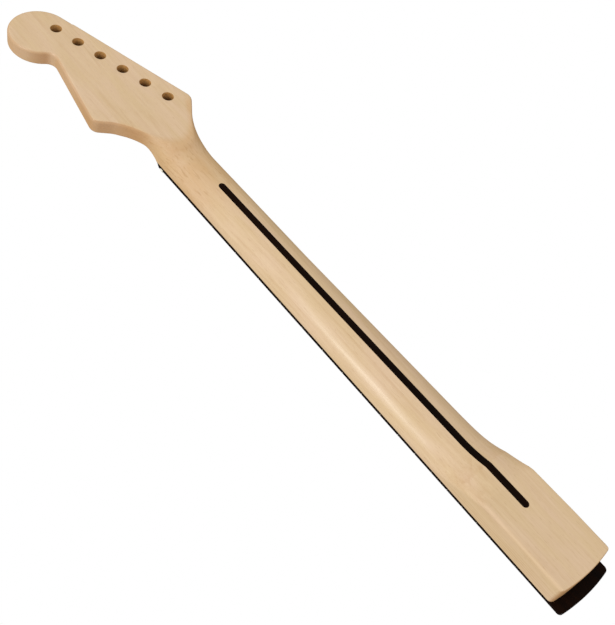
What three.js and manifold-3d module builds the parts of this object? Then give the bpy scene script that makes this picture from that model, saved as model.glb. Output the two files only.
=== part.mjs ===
// Electric guitar neck, lying on its back.
// +X runs from the headstock to the heel, +Z points out of the fingerboard, and the bass side faces -Y.
// The origin is on the flat back of the heel, at the middle of the part that a body pocket holds.
// Places along the neck are written as distances from the front face of the nut, towards the heel.

import * as THREE from 'three';
import { mergeVertices } from 'three/addons/utils/BufferGeometryUtils.js';
import Module from 'manifold-3d';

const wasm = await Module();
wasm.setup();

// Scale and frets, in millimetres
const scaleLength = 648;
const fretCount = 22;
const notesPerOctave = 12;

// Neck and heel
const nutEndWidth = 42;
const heelWidth = 56;
const heelThickness = 25.4;
const heelPastLastFret = 1.3;
const heelEndRadius = 158;
const heelCornerRadius = 4;
const pocketLength = 76;
const heelFlatLength = 100.5;
const heelRampLength = 26;
const heelRampBend = 2;
const shoulderFlatLength = 79.5;
const shoulderRampLength = 70;
const shoulderRampBend = 2.45;
const backRiseAtNut = 3.8;
const backRiseAtHeel = 3.7;
const sideWallHeight = 0.6;
const sidePlaning = 0.1;
const backRoundnessAtNut = 2.2;
const backRoundness = 1.66;
const roundnessChangeLength = 140;
const heelEdgeRadius = 1.2;

// Headstock
const headstockThickness = 14;
const bulbFromNut = 173.2;
const bulbOffset = 31.2;
const bulbRadius = 28.6;
const notchRadius = 9.7;
const hornFromNut = 58.1;
const hornOffset = 54.3;
const hornRadius = 9;
const hornEdgeAngle = THREE.MathUtils.degToRad(11.9);
const hornInsideFromNut = 48;
const hornInsideOffset = 39.7;
const hornInsideRadius = 23.7;
const trebleScoopRadius = 51.5;
const trebleScoopAngle = THREE.MathUtils.degToRad(41.2);
const tunerCornerFromNut = 44.3;
const tunerCornerOffset = 40;
const tunerCornerRadius = 10;
const bassScoopRadius = 52;
const bassScoopAngle = THREE.MathUtils.degToRad(34.4);
const faceRampRadius = 25.4;
const faceRampShelf = 1.8;
const backDipStart = 20;
const backDipRadius = 50;
const backDipAngle = THREE.MathUtils.degToRad(21.8);
const backDipEnd = 42;
const creaseSoftness = 1.5;

// Tuner holes
const tunerHoleCount = 6;
const tunerHoleDiameter = 10.3;
const tunerHoleSpacing = 24.6;
const firstHoleFromNut = 53.2;
const firstHoleOffset = 20.6;
const tunerLineAngle = THREE.MathUtils.degToRad(17.9);

// Fingerboard
const boardThickness = 4.6;
const crownRadius = 241.3;
const boardOverhang = 10.2;
const boardBehindShelf = 9.2;
const boardEndRadius = 165;
const boardCornerRadius = 3.5;

// Frets
const fretCrownWidth = 2.6;
const fretCrownHeight = 1.1;
const fretTangWidth = 0.5;
const fretTangDepth = 1.5;
const fretBevelAngle = THREE.MathUtils.degToRad(35);

// Nut
const nutThickness = 3.3;
const nutStand = 1.7;
const nutSeatAboveGlue = 2.2;
const stringCount = 6;
const stringSpread = 35;
const stringGrooveWidth = 0.9;
const stringGrooveDepth = 0.8;

// Position dots
const faceDotDiameter = 6.35;
const faceDotThickness = 1.5;
const octaveDotSpacing = 22;
const sideDotDiameter = 1.8;
const sideDotLength = 3;
const sideDotPairSpacing = 6;
const sideDotRecess = 0.05;
const dottedFrets = [3, 5, 7, 9, 12, 15, 17, 19, 21];
const octaveFret = 12;

// Truss rod and what goes with it
const rodDiameter = 4.8;
const rodEndHeight = 10;
const rodSag = 2;
const rodCurveStart = 20;
const rodPastStripe = 12;
const stripeWidth = 6.3;
const stripeStart = 48.7;
const stripeEndBeforeHeelEnd = 59.8;
const accessWidth = 9.6;
const accessStartBehindNut = 2.4;
const accessLength = 40;
const accessFloorHeight = 5.4;
const washerDiameter = 8.4;
const washerThickness = 1.5;
const adjusterDiameter = 8;
const adjusterLength = 15;
const adjusterSocketDepth = 6;
const adjusterSocketFlats = 4.8;
const adjusterChamfer = 0.8;
const anchorLength = 8;
const anchorWidth = 14;
const anchorBelowRod = 3.6;

// Clearances, overruns and how finely round stretches are drawn
const fitGap = 0.3;
const turnGap = 0.25;
const overrun = 5;
const cutterWidth = 220;
const arcStep = THREE.MathUtils.degToRad(8);
const backSteps = 26;
const dipSteps = 18;
const heelRampSteps = 12;
const shoulderSteps = 6;
const roundnessSteps = 4;
const crownSteps = 12;
const fretSteps = 6;
const holeSides = 20;
const dotSides = 16;
const smallSides = 10;
const rodSides = 12;
const rodSteps = 26;
const boreSteps = 5;
const hexSides = 6;
const fretArcSteps = 4;

// Sizes worked out from the ones above
const glueHeight = heelThickness - boardThickness;
const lastFret = fretAt(fretCount);
const heelEnd = lastFret + heelPastLastFret;
const boardEnd = heelEnd + boardOverhang;
const originFromNut = heelEnd - pocketLength / 2;
const heelFlatStart = heelEnd - heelFlatLength;
const shoulderFlatStart = heelEnd - shoulderFlatLength;
const stripeEnd = heelEnd - stripeEndBeforeHeelEnd;
const accessStart = -(nutThickness + accessStartBehindNut);
const accessEnd = accessStart - accessLength;
const rodCurveEnd = stripeEnd - rodCurveStart / 2;
const anchorStart = stripeEnd + rodPastStripe - anchorLength;
const anchorEnd = stripeEnd + rodPastStripe;
const crownCentre = heelThickness - crownRadius;
const edgeHeight = glueHeight - sideWallHeight;

function fretAt(number) {
  return scaleLength * (1 - 2 ** (-number / notesPerOctave));
}

function halfWidthAt(along) {
  return (nutEndWidth + (heelWidth - nutEndWidth) * along / heelEnd) / 2;
}

function crownHeightAt(across) {
  return crownCentre + Math.sqrt(crownRadius ** 2 - across ** 2);
}

// How far a line leaves its old course once it has turned along an arc and then runs on straight
function bendAt(on, radius, angle) {
  const run = radius * Math.sin(angle);
  if (on < run) return radius - Math.sqrt(radius ** 2 - Math.max(on, 0) ** 2);
  return radius * (1 - Math.cos(angle)) + (on - run) * Math.tan(angle);
}

// Where a scoop beside the nut starts, from the corner that its two tangents make
function scoopStart(fromNut, offset, radius, angle) {
  const nutHalf = halfWidthAt(-tunerCornerFromNut / 2);
  return (offset - nutHalf) / Math.tan(angle) - fromNut + radius * Math.tan(angle / 2);
}

// Half width of the round back: the straight sides plane it a little, and it widens with the scoops
function roundHalfAt(along, across) {
  const at = Math.max(along, -backDipEnd);
  if (at > 0) return halfWidthAt(at) + sidePlaning;
  const bass = across < 0;
  const radius = bass ? bassScoopRadius : trebleScoopRadius;
  const angle = bass ? bassScoopAngle : trebleScoopAngle;
  const start = bass ? scoopStart(tunerCornerFromNut, tunerCornerOffset, radius, angle)
    : scoopStart(hornInsideFromNut, hornInsideOffset, radius, angle);
  return halfWidthAt(0) + sidePlaning + bendAt(start - at, radius, angle);
}

// How flat the back is: 0 on the round neck, 1 from flatStart on, with a hollow ramp between them
function flatShareAt(along, flatStart, rampLength, bend) {
  return THREE.MathUtils.clamp((along - flatStart) / rampLength + 1, 0, 1) ** bend;
}

// Height of the back above the resting plane. The centre comes down to the heel before the shoulders.
// Behind the nut the round back dips into the headstock's flat back, and the two meet in a soft crease.
function backHeightAt(along, across) {
  const share = THREE.MathUtils.clamp(along / heelFlatStart, 0, 1);
  const rise = backRiseAtNut + (backRiseAtHeel - backRiseAtNut) * share;
  const half = roundHalfAt(along, across);
  const reach = Math.min(Math.abs(across) / half, 1);
  const change = THREE.MathUtils.clamp(along / roundnessChangeLength, 0, 1);
  const power = backRoundnessAtNut + (backRoundness - backRoundnessAtNut) * change;
  const fall = 1 - (1 - reach ** power) ** (1 / power);
  const centreFlat = flatShareAt(along, heelFlatStart, heelRampLength, heelRampBend);
  const shoulderFlat = flatShareAt(along, shoulderFlatStart, shoulderRampLength, shoulderRampBend);
  const edgeReach = THREE.MathUtils.clamp(1 - (half - Math.abs(across)) / heelEdgeRadius, 0, 1);
  const edge = heelEdgeRadius * (1 - Math.sqrt(1 - edgeReach ** 2)) * shoulderFlat;
  const round = rise * (1 - centreFlat) + (edgeHeight - rise) * fall * (1 - shoulderFlat) + edge;
  if (along > backDipStart) return round;
  const dipped = round - bendAt(backDipStart - along, backDipRadius, backDipAngle);
  if (dipped > creaseSoftness) return dipped;
  return (Math.max(dipped + creaseSoftness, 0) / 2) ** 2 / creaseSoftness;
}

// Solids and meshes
function toSolid(geometry) {
  const bare = geometry.index ? geometry.toNonIndexed() : geometry.clone();
  bare.deleteAttribute('normal');
  bare.deleteAttribute('uv');
  const merged = mergeVertices(bare);
  return new wasm.Manifold(new wasm.Mesh({
    numProp: 3,
    vertProperties: new Float32Array(merged.attributes.position.array),
    triVerts: new Uint32Array(merged.index.array),
  }));
}

function toGeometry(solid) {
  const { vertProperties, triVerts, numProp } = solid.getMesh();
  const geometry = new THREE.BufferGeometry();
  const positions = new Float32Array(vertProperties.length / numProp * 3);
  for (let i = 0; i < positions.length / 3; i += 1) {
    positions.set(vertProperties.subarray(i * numProp, i * numProp + 3), i * 3);
  }
  geometry.setAttribute('position', new THREE.BufferAttribute(positions, 3));
  geometry.setIndex(new THREE.BufferAttribute(new Uint32Array(triVerts), 1));
  geometry.computeVertexNormals();
  return geometry;
}

function cut(solid, tools) {
  return tools.reduce((left, tool) => left.subtract(tool), solid);
}

// A plan outline raised from one height to another
function raised(outline, low, high) {
  const shape = new THREE.Shape(outline);
  const geometry = new THREE.ExtrudeGeometry(shape, { depth: high - low, bevelEnabled: false });
  return toSolid(geometry.translate(0, 0, low));
}

// An outline in the XZ plane, drawn out evenly to both sides
function sidewise(outline, width) {
  const shape = new THREE.Shape(outline);
  const geometry = new THREE.ExtrudeGeometry(shape, { depth: width, bevelEnabled: false });
  const turn = new THREE.Matrix4().makeRotationX(Math.PI / 2);
  return toSolid(geometry.applyMatrix4(turn).translate(0, width / 2, 0));
}

function box(from, to) {
  const geometry = new THREE.BoxGeometry(to[0] - from[0], to[1] - from[1], to[2] - from[2]);
  geometry.translate((from[0] + to[0]) / 2, (from[1] + to[1]) / 2, (from[2] + to[2]) / 2);
  return toSolid(geometry);
}

function upright(radius, low, high, sides) {
  const geometry = new THREE.CylinderGeometry(radius, radius, high - low, sides);
  return geometry.rotateX(Math.PI / 2).translate(0, 0, (low + high) / 2);
}

// A closed skin over rings with the same number of points each
function skinned(rings) {
  const count = rings[0].length;
  const positions = rings.flat().flatMap((p) => [p.x, p.y, p.z]);
  const index = [];
  for (let r = 0; r + 1 < rings.length; r += 1) {
    for (let i = 0; i < count; i += 1) {
      const a = r * count + i;
      const b = r * count + (i + 1) % count;
      index.push(a, b, a + count, b, b + count, a + count);
    }
  }
  return { positions, index, count };
}

function closedSkin(rings, capOutline) {
  const { positions, index, count } = skinned(rings);
  const last = (rings.length - 1) * count;
  const faces = THREE.ShapeUtils.triangulateShape(capOutline, []);
  for (const [a, b, c] of faces) {
    index.push(a, c, b);
    index.push(last + a, last + b, last + c);
  }
  const geometry = new THREE.BufferGeometry();
  geometry.setAttribute('position', new THREE.Float32BufferAttribute(positions, 3));
  geometry.setIndex(index);
  return geometry;
}

// Outlines are lists of points; a point with a radius is a rounded corner
function corner(along, across, radius) {
  return { x: along - originFromNut, y: across, radius };
}

function rounded(corners) {
  const points = [];
  corners.forEach((here, i) => {
    const at = new THREE.Vector2(here.x, here.y);
    if (!here.radius) {
      points.push(at);
      return;
    }
    const before = corners[(i + corners.length - 1) % corners.length];
    const after = corners[(i + 1) % corners.length];
    const back = new THREE.Vector2(before.x, before.y).sub(at);
    const on = new THREE.Vector2(after.x, after.y).sub(at);
    const turn = Math.PI - Math.acos(back.dot(on) / back.length() / on.length());
    const room = Math.min(back.length(), on.length());
    const reach = Math.min(here.radius * Math.tan(turn / 2), room);
    const radius = reach / Math.tan(turn / 2);
    const steps = Math.max(2, Math.ceil(turn / arcStep));
    const middle = back.clone().normalize().add(on.clone().normalize()).normalize();
    const centre = middle.multiplyScalar(Math.hypot(radius, reach)).add(at);
    const way = Math.sign(on.cross(back));
    const start = back.normalize().multiplyScalar(reach).add(at).sub(centre);
    for (let s = 0; s <= steps; s += 1) {
      const spin = way * turn * s / steps;
      points.push(start.clone().rotateAround(new THREE.Vector2(), spin).add(centre));
    }
  });
  return points;
}

function arcCorners(centreAlong, centreAcross, radius, from, to) {
  const steps = Math.max(2, Math.ceil(Math.abs(to - from) / arcStep));
  const list = [];
  for (let s = 0; s <= steps; s += 1) {
    const angle = from + (to - from) * s / steps;
    list.push(corner(centreAlong + radius * Math.cos(angle), centreAcross + radius * Math.sin(angle), 0));
  }
  return list;
}

// The end of the heel or of the board: a shallow arc between two rounded corners
function endCorners(end, radius, cornerRadius) {
  const half = halfWidthAt(end);
  const centre = end - radius;
  const side = centre + Math.sqrt(radius ** 2 - half ** 2);
  const inner = Math.asin((half - cornerRadius) / radius);
  const steps = Math.ceil(half / cornerRadius);
  const list = [corner(side, -half, cornerRadius)];
  for (let s = 1; s < steps; s += 1) {
    const angle = inner * (2 * s / steps - 1);
    list.push(corner(centre + radius * Math.cos(angle), radius * Math.sin(angle), 0));
  }
  list.push(corner(side, half, cornerRadius));
  return list;
}

// Headstock outline, from the treble edge at the nut round the tip to the bass edge
function headstockCorners() {
  const nutHalf = halfWidthAt(-tunerCornerFromNut / 2);
  const hornRun = (hornInsideOffset - nutHalf) / Math.tan(trebleScoopAngle);
  const tunerRun = (tunerCornerOffset - nutHalf) / Math.tan(bassScoopAngle);
  const edge = new THREE.Vector2(-Math.cos(hornEdgeAngle), -Math.sin(hornEdgeAngle));
  const out = new THREE.Vector2(-Math.sin(hornEdgeAngle), Math.cos(hornEdgeAngle));
  const bulb = new THREE.Vector2(-bulbFromNut, bulbOffset);
  const horn = new THREE.Vector2(-hornFromNut, hornOffset);
  const line = out.clone().multiplyScalar(notchRadius).add(horn);
  const toBulb = bulb.clone().sub(line);
  const nearest = toBulb.dot(edge);
  const off = toBulb.cross(edge);
  const reach = nearest - Math.sqrt((bulbRadius + notchRadius) ** 2 - off ** 2);
  const notch = edge.clone().multiplyScalar(reach).add(line);
  const notchEnd = bulb.clone().sub(notch).angle();
  const notchStart = out.clone().negate().angle();
  const tuner = new THREE.Vector2(-tunerCornerFromNut, -tunerCornerOffset);
  const fromTuner = bulb.clone().sub(tuner);
  const tangent = fromTuner.angle() + Math.asin(bulbRadius / fromTuner.length());
  const bulbStart = notchEnd - Math.PI;
  return [
    corner(-hornInsideFromNut + hornRun, nutHalf, trebleScoopRadius),
    corner(-hornInsideFromNut, hornInsideOffset, hornInsideRadius),
    corner(horn.x, horn.y, hornRadius),
    ...arcCorners(notch.x, notch.y, notchRadius, notchStart, notchEnd),
    ...arcCorners(bulb.x, bulb.y, bulbRadius, bulbStart, tangent + Math.PI / 2).slice(1),
    corner(tuner.x, tuner.y, tunerCornerRadius),
    corner(-tunerCornerFromNut + tunerRun, -nutHalf, bassScoopRadius),
  ];
}

function neckOutline() {
  return rounded([...endCorners(heelEnd, heelEndRadius, heelCornerRadius), ...headstockCorners()]);
}

function boardOutline() {
  const start = -(nutThickness + faceRampShelf + boardBehindShelf);
  const half = halfWidthAt(start);
  const ends = [corner(start, half, 0), corner(start, -half, 0)];
  return rounded([...endCorners(boardEnd, boardEndRadius, boardCornerRadius), ...ends]);
}

// The side view that neck and board share: level on top, then swept down to the headstock's face
function sideView() {
  const fall = heelThickness - headstockThickness;
  const run = Math.sqrt(faceRampRadius ** 2 - (faceRampRadius - fall) ** 2);
  const start = -(nutThickness + faceRampShelf);
  const top = heelThickness + overrun;
  const tip = -(bulbFromNut + bulbRadius + overrun);
  const corners = [
    corner(boardEnd + overrun, -overrun, 0),
    corner(boardEnd + overrun, top, 0),
    corner(start, top, 0),
    ...arcCorners(start - run, headstockThickness + faceRampRadius, faceRampRadius,
      Math.asin(run / faceRampRadius) - Math.PI / 2, -Math.PI / 2),
    corner(tip, headstockThickness, 0),
    corner(tip, -overrun, 0),
  ];
  return sidewise(rounded(corners), cutterWidth);
}

// Everything between the back's curved surface and a level plane
function aboveBack(topHeight) {
  const wide = bulbOffset + bulbRadius + overrun;
  const stations = [-(bulbFromNut + bulbRadius + overrun)];
  for (let i = 0; i <= dipSteps; i += 1) {
    stations.push((backDipStart + backDipEnd) * i / dipSteps - backDipEnd);
  }
  for (let i = 1; i < roundnessSteps; i += 1) {
    stations.push(backDipStart + (roundnessChangeLength - backDipStart) * i / roundnessSteps);
  }
  const rampStart = shoulderFlatStart - shoulderRampLength;
  stations.push(roundnessChangeLength);
  for (let i = 0; i < heelRampSteps; i += 1) {
    stations.push(rampStart + (heelFlatStart - rampStart) * i / heelRampSteps);
  }
  for (let i = 0; i <= shoulderSteps; i += 1) {
    stations.push(heelFlatStart + (shoulderFlatStart - heelFlatStart) * i / shoulderSteps);
  }
  stations.push(boardEnd + overrun);
  const ringAt = (along) => {
    const across = [-wide];
    for (let i = 0; i <= backSteps; i += 1) {
      const share = -Math.cos(Math.PI * i / backSteps);
      across.push(share * roundHalfAt(along, share));
    }
    across.push(wide);
    const x = along - originFromNut;
    const low = across.map((y) => new THREE.Vector3(x, y, backHeightAt(along, y)));
    const high = across.map((y) => new THREE.Vector3(x, y, topHeight));
    return [...low, ...high.reverse()];
  };
  const rings = stations.map(ringAt);
  const capAt = (ring) => ring.map((p) => new THREE.Vector2(p.y, p.z));
  return toSolid(closedSkin(rings, capAt(rings[0])));
}

// The rod's centre line: level at both ends and lowest in the middle
function rodHeightAt(along) {
  const share = THREE.MathUtils.clamp((along - rodCurveStart) / (rodCurveEnd - rodCurveStart), 0, 1);
  return rodEndHeight - rodSag * (1 - Math.cos(2 * Math.PI * share)) / 2;
}

function rodPath(from, to, steps) {
  const points = [];
  for (let i = 0; i <= steps; i += 1) {
    const along = from + (to - from) * i / steps;
    points.push(new THREE.Vector3(along - originFromNut, 0, rodHeightAt(along)));
  }
  return points;
}

function roundBar(radius, from, to, steps, sides) {
  const rings = rodPath(from, to, steps).map((at) => {
    const ring = [];
    for (let i = 0; i < sides; i += 1) {
      const angle = 2 * Math.PI * i / sides;
      ring.push(new THREE.Vector3(at.x, at.y + radius * Math.cos(angle), at.z + radius * Math.sin(angle)));
    }
    return ring;
  });
  return closedSkin(rings, rings[0].map((p) => new THREE.Vector2(p.y, p.z)));
}

// The groove in the back, from below the neck up to a height over or under the rod's centre line
function grooveUpTo(offset, start, end, width) {
  const points = rodPath(start, end, rodSteps).map((p) => new THREE.Vector2(p.x, p.z + offset));
  points.push(new THREE.Vector2(end - originFromNut, -overrun));
  points.push(new THREE.Vector2(start - originFromNut, -overrun));
  const plan = rounded([
    corner(start, -width / 2, width / 2), corner(end, -width / 2, width / 2),
    corner(end, width / 2, width / 2), corner(start, width / 2, width / 2),
  ]);
  return sidewise(points.reverse(), width + overrun).intersect(raised(plan, -overrun, heelThickness));
}

// The open trough behind the nut, where a key reaches the adjuster
function accessTrough() {
  const plan = rounded([
    corner(accessEnd, -accessWidth / 2, accessWidth / 2), corner(accessStart, -accessWidth / 2, 0),
    corner(accessStart, accessWidth / 2, 0), corner(accessEnd, accessWidth / 2, accessWidth / 2),
  ]);
  return raised(plan, accessFloorHeight, heelThickness + overrun);
}

function makeNeckShaft(blank, outline) {
  const holes = [];
  for (let i = 0; i < tunerHoleCount; i += 1) {
    const run = tunerHoleSpacing * i;
    const x = -firstHoleFromNut - run * Math.cos(tunerLineAngle) - originFromNut;
    const y = -firstHoleOffset + run * Math.sin(tunerLineAngle);
    const drill = upright(tunerHoleDiameter / 2, -overrun, headstockThickness + overrun, holeSides);
    holes.push(toSolid(drill.translate(x, y, 0)));
  }
  const anchorPocket = box(
    [anchorStart - fitGap - originFromNut, -anchorWidth / 2 - fitGap, rodEndHeight - anchorBelowRod - fitGap],
    [anchorEnd + fitGap - originFromNut, anchorWidth / 2 + fitGap, glueHeight + overrun],
  );
  const radius = rodDiameter / 2 + fitGap;
  const bore = (from, to) => toSolid(roundBar(radius, from, to, boreSteps, rodSides));
  const headBore = bore(accessStart - overrun, stripeStart + overrun);
  const heelBore = bore(stripeEnd - overrun, anchorStart + overrun / 2);
  return cut(raised(outline, -overrun, heelThickness).intersect(blank), [
    ...holes, anchorPocket, headBore, heelBore, accessTrough(),
    grooveUpTo(radius + fitGap, stripeStart, stripeEnd, stripeWidth),
  ]);
}

function makeFillerStripe(back) {
  const strip = grooveUpTo(
    -rodDiameter / 2 - fitGap, stripeStart + fitGap, stripeEnd - fitGap, stripeWidth - fitGap - fitGap,
  );
  return strip.intersect(back);
}

// A band that follows the crown of the board: each outline point is (along, height over the board)
function alongCrown(outline, at, halfLength, bevel, steps) {
  const rings = [];
  for (let s = 0; s <= steps; s += 1) {
    rings.push(outline.map((p) => {
      const reach = halfLength - Math.max(p.y, 0) * Math.tan(bevel);
      const angle = Math.asin(reach / crownRadius) * (1 - 2 * s / steps);
      const radius = crownRadius + p.y;
      return new THREE.Vector3(at + p.x, radius * Math.sin(angle), crownCentre + radius * Math.cos(angle));
    }));
  }
  return closedSkin(rings, outline);
}

function fretOutline() {
  const points = [];
  for (let i = 0; i <= fretArcSteps; i += 1) {
    const angle = Math.PI * i / fretArcSteps;
    const rise = (fretCrownHeight - fitGap) * Math.sin(angle);
    points.push(new THREE.Vector2(fretCrownWidth / 2 * Math.cos(angle), fitGap + rise));
  }
  const tang = fretTangWidth / 2;
  points.push(new THREE.Vector2(-tang, fitGap), new THREE.Vector2(-tang, -fretTangDepth));
  points.push(new THREE.Vector2(tang, -fretTangDepth), new THREE.Vector2(tang, fitGap));
  return points;
}

function slotOutline() {
  const half = fretTangWidth / 2 + fitGap;
  const low = -fretTangDepth - fitGap;
  return [
    new THREE.Vector2(half, low), new THREE.Vector2(half, overrun),
    new THREE.Vector2(-half, overrun), new THREE.Vector2(-half, low),
  ];
}

function makeFret(number) {
  const along = fretAt(number);
  const half = halfWidthAt(along) - fitGap / 2;
  return alongCrown(fretOutline(), along - originFromNut, half, fretBevelAngle, fretSteps);
}

// Where the face dots and the side dots lie: [name, along, across]
function dotPlaces(spacing, alongBoard) {
  const places = [];
  for (const number of dottedFrets) {
    const middle = (fretAt(number - 1) + fretAt(number)) / 2;
    const tag = String(number).padStart(2, '0');
    if (number !== octaveFret) {
      places.push([tag, middle, 0]);
      continue;
    }
    const shift = spacing / 2;
    places.push([`${tag}_a`, middle - (alongBoard ? shift : 0), alongBoard ? 0 : -shift]);
    places.push([`${tag}_b`, middle + (alongBoard ? shift : 0), alongBoard ? 0 : shift]);
  }
  return places;
}

function faceDot(along, across, radius, thickness) {
  const top = crownHeightAt(across);
  return upright(radius, top - thickness, top, dotSides).translate(along - originFromNut, across, 0);
}

function sideDot(along, radius, length) {
  const edge = crownHeightAt(halfWidthAt(along));
  const geometry = new THREE.CylinderGeometry(radius, radius, length, smallSides);
  const y = -halfWidthAt(along) + sideDotRecess + length / 2;
  return geometry.translate(along - originFromNut, y, (glueHeight + edge) / 2);
}

function makeFingerboard(side) {
  const half = heelWidth / 2 + overrun;
  const section = [];
  for (let i = 0; i <= crownSteps; i += 1) {
    const across = half * (1 - 2 * i / crownSteps);
    section.push(new THREE.Vector2(across, crownHeightAt(across)));
  }
  section.push(new THREE.Vector2(-half, glueHeight), new THREE.Vector2(half, glueHeight));
  const length = boardEnd + bulbFromNut;
  const crown = new THREE.ExtrudeGeometry(new THREE.Shape(section), { depth: length, bevelEnabled: false });
  crown.applyMatrix4(new THREE.Matrix4().makeBasis(
    new THREE.Vector3(0, 1, 0), new THREE.Vector3(0, 0, 1), new THREE.Vector3(1, 0, 0),
  ));
  crown.translate(-bulbFromNut - originFromNut, 0, 0);
  const plan = raised(boardOutline(), glueHeight - overrun, heelThickness + overrun);
  const blank = plan.intersect(toSolid(crown)).intersect(side);
  const tools = [accessTrough()];
  tools.push(box(
    [-nutThickness - fitGap - originFromNut, -heelWidth, glueHeight + nutSeatAboveGlue],
    [-originFromNut + fitGap, heelWidth, heelThickness + overrun],
  ));
  for (let number = 1; number <= fretCount; number += 1) {
    const at = fretAt(number) - originFromNut;
    const reach = halfWidthAt(fretAt(number)) + overrun;
    tools.push(toSolid(alongCrown(slotOutline(), at, reach, 0, fretSteps)));
  }
  for (const [, along, across] of dotPlaces(octaveDotSpacing, false)) {
    const pocket = faceDot(along, across, faceDotDiameter / 2 + fitGap, faceDotThickness + fitGap);
    tools.push(toSolid(pocket), toSolid(pocket.clone().translate(0, 0, fitGap)));
  }
  for (const [, along] of dotPlaces(sideDotPairSpacing, true)) {
    const pocket = sideDot(along, sideDotDiameter / 2 + fitGap, sideDotLength + fitGap);
    tools.push(toSolid(pocket), toSolid(pocket.clone().translate(0, -fitGap, 0)));
  }
  return cut(blank, tools);
}

// The nut: crowned like the board, with a groove for each string
function makeNut() {
  const outline = [
    new THREE.Vector2(nutThickness / 2, -boardThickness), new THREE.Vector2(nutThickness / 2, nutStand),
    new THREE.Vector2(-nutThickness / 2, nutStand), new THREE.Vector2(-nutThickness / 2, -boardThickness),
  ];
  const middle = -nutThickness / 2;
  const body = toSolid(alongCrown(outline, middle - originFromNut, halfWidthAt(middle), 0, crownSteps));
  const seat = glueHeight + nutSeatAboveGlue;
  const above = box(
    [-nutThickness - overrun - originFromNut, -nutEndWidth, seat],
    [overrun - originFromNut, nutEndWidth, heelThickness + overrun],
  );
  const grooves = [];
  for (let i = 0; i < stringCount; i += 1) {
    const across = stringSpread * (i / (stringCount - 1) - 1 / 2);
    const floor = crownHeightAt(across) + nutStand - stringGrooveDepth;
    grooves.push(box(
      [-nutThickness - overrun - originFromNut, across - stringGrooveWidth / 2, floor],
      [overrun - originFromNut, across + stringGrooveWidth / 2, floor + overrun],
    ));
  }
  return cut(body.intersect(above), grooves);
}

// A turned piece on the rod's axis; the profile is [distance along, radius] and closes on itself
function turned(profile, sides) {
  const points = profile.map(([along, radius]) => new THREE.Vector2(radius, along));
  const geometry = new THREE.LatheGeometry([...points, points[0]], sides);
  geometry.rotateZ(-Math.PI / 2);
  return geometry;
}

const washerStart = accessStart - fitGap - washerThickness;
const adjusterStart = washerStart - fitGap - adjusterLength;

function makeRodWasher() {
  const bore = rodDiameter / 2 + fitGap;
  const outer = washerDiameter / 2;
  const ring = turned([[0, bore], [0, outer], [washerThickness, outer], [washerThickness, bore]], holeSides);
  return ring.translate(washerStart - originFromNut, 0, rodEndHeight);
}

function makeRodAdjuster() {
  const bore = rodDiameter / 2 + turnGap;
  const outer = adjusterDiameter / 2;
  const body = toSolid(turned([
    [0, 0], [0, outer - adjusterChamfer], [adjusterChamfer, outer],
    [adjusterLength - adjusterChamfer, outer], [adjusterLength, outer - adjusterChamfer], [adjusterLength, 0],
  ], holeSides));
  const socketRadius = adjusterSocketFlats / 2 / Math.cos(Math.PI / hexSides);
  const socketLength = adjusterSocketDepth + overrun;
  const socket = new THREE.CylinderGeometry(socketRadius, socketRadius, socketLength, hexSides);
  socket.rotateZ(Math.PI / 2).translate((adjusterSocketDepth - overrun) / 2, 0, 0);
  const drill = new THREE.CylinderGeometry(bore, bore, adjusterLength, holeSides);
  drill.rotateZ(Math.PI / 2).translate(adjusterSocketDepth + adjusterLength / 2, 0, 0);
  const solid = cut(body, [toSolid(socket), toSolid(drill)]);
  return toGeometry(solid).translate(adjusterStart - originFromNut, 0, rodEndHeight);
}

function makeTrussRod() {
  const start = adjusterStart + adjusterSocketDepth + fitGap;
  return roundBar(rodDiameter / 2, start, anchorEnd, rodSteps, rodSides);
}

function makeRodAnchor() {
  const block = box(
    [anchorStart - originFromNut, -anchorWidth / 2, rodEndHeight - anchorBelowRod],
    [anchorEnd - originFromNut, anchorWidth / 2, glueHeight - fitGap],
  );
  const drill = roundBar(rodDiameter / 2 + fitGap, anchorStart - overrun, anchorEnd + overrun, 1, rodSides);
  return block.subtract(toSolid(drill));
}

// Materials
const maple = () => new THREE.MeshStandardMaterial({ color: 0xd7b992, roughness: 0.55, metalness: 0 });
const darkWood = () => new THREE.MeshStandardMaterial({ color: 0x1d1412, roughness: 0.5, metalness: 0 });
const nickel = () => new THREE.MeshStandardMaterial({ color: 0xc8c6c0, roughness: 0.28, metalness: 1 });
const bone = () => new THREE.MeshStandardMaterial({ color: 0xefeadc, roughness: 0.4, metalness: 0 });
const pearl = () => new THREE.MeshStandardMaterial({ color: 0xe9e6df, roughness: 0.3, metalness: 0 });
const steel = () => new THREE.MeshStandardMaterial({ color: 0x8d8f92, roughness: 0.35, metalness: 1 });
const brass = () => new THREE.MeshStandardMaterial({ color: 0xc7a35a, roughness: 0.35, metalness: 1 });

const group = new THREE.Group();

function add(name, shape, material) {
  const geometry = shape.isBufferGeometry ? shape : toGeometry(shape);
  geometry.computeVertexNormals();
  const mesh = new THREE.Mesh(geometry, material);
  mesh.name = name;
  group.add(mesh);
}

const back = aboveBack(glueHeight);
const side = sideView();

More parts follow.
